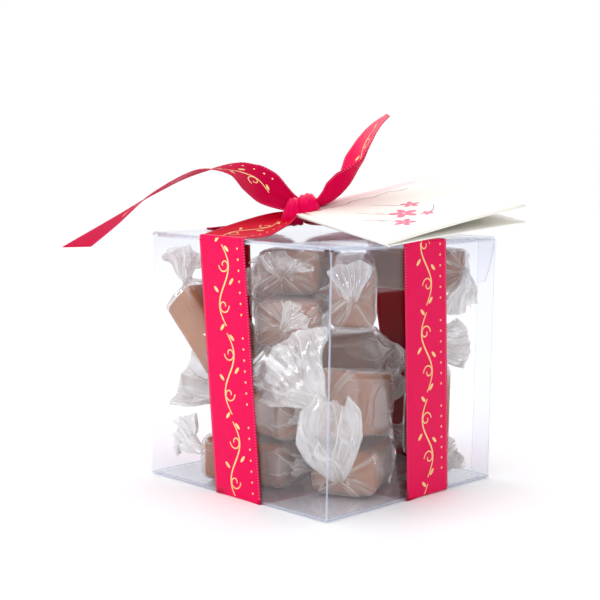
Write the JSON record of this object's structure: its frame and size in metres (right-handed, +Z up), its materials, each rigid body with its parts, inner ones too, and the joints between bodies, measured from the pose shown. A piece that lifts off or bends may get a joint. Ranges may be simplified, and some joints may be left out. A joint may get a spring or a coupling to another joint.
{
  "type": "gift box of wrapped butter caramels",
  "caption": "Clear cube box packed with butter caramels twisted in clear film, tied crosswise with red satin ribbon, knotted on top with two free tails and a folded card.",
  "frame": {"origin": "middle of the box's plan, on the underside of the crossing ribbon bands that it rests on", "axes": "+Z up, X along the front wall, +Y from the front wall to the back wall; the ribbon's tails lie over the diagonal from the front left to the back right corner"},
  "size_m": [0.1168, 0.0983, 0.1138],
  "materials": {
    "clear_plastic": "clear, glossy",
    "satin": "satin",
    "card_stock": "uncoated",
    "wrapped_caramel": "glossy film over caramel"
  },
  "bodies": {
    "root": {"box": "clear_plastic", "ribbon": "satin", "card": "card_stock", "caramel_01": "wrapped_caramel", "caramel_02": "wrapped_caramel", "caramel_03": "wrapped_caramel", "caramel_04": "wrapped_caramel", "caramel_05": "wrapped_caramel", "caramel_06": "wrapped_caramel", "caramel_07": "wrapped_caramel", "caramel_08": "wrapped_caramel", "caramel_09": "wrapped_caramel", "caramel_10": "wrapped_caramel", "caramel_11": "wrapped_caramel", "caramel_12": "wrapped_caramel", "caramel_13": "wrapped_caramel", "caramel_14": "wrapped_caramel", "caramel_15": "wrapped_caramel", "caramel_16": "wrapped_caramel"}
  },
  "joints": []
}
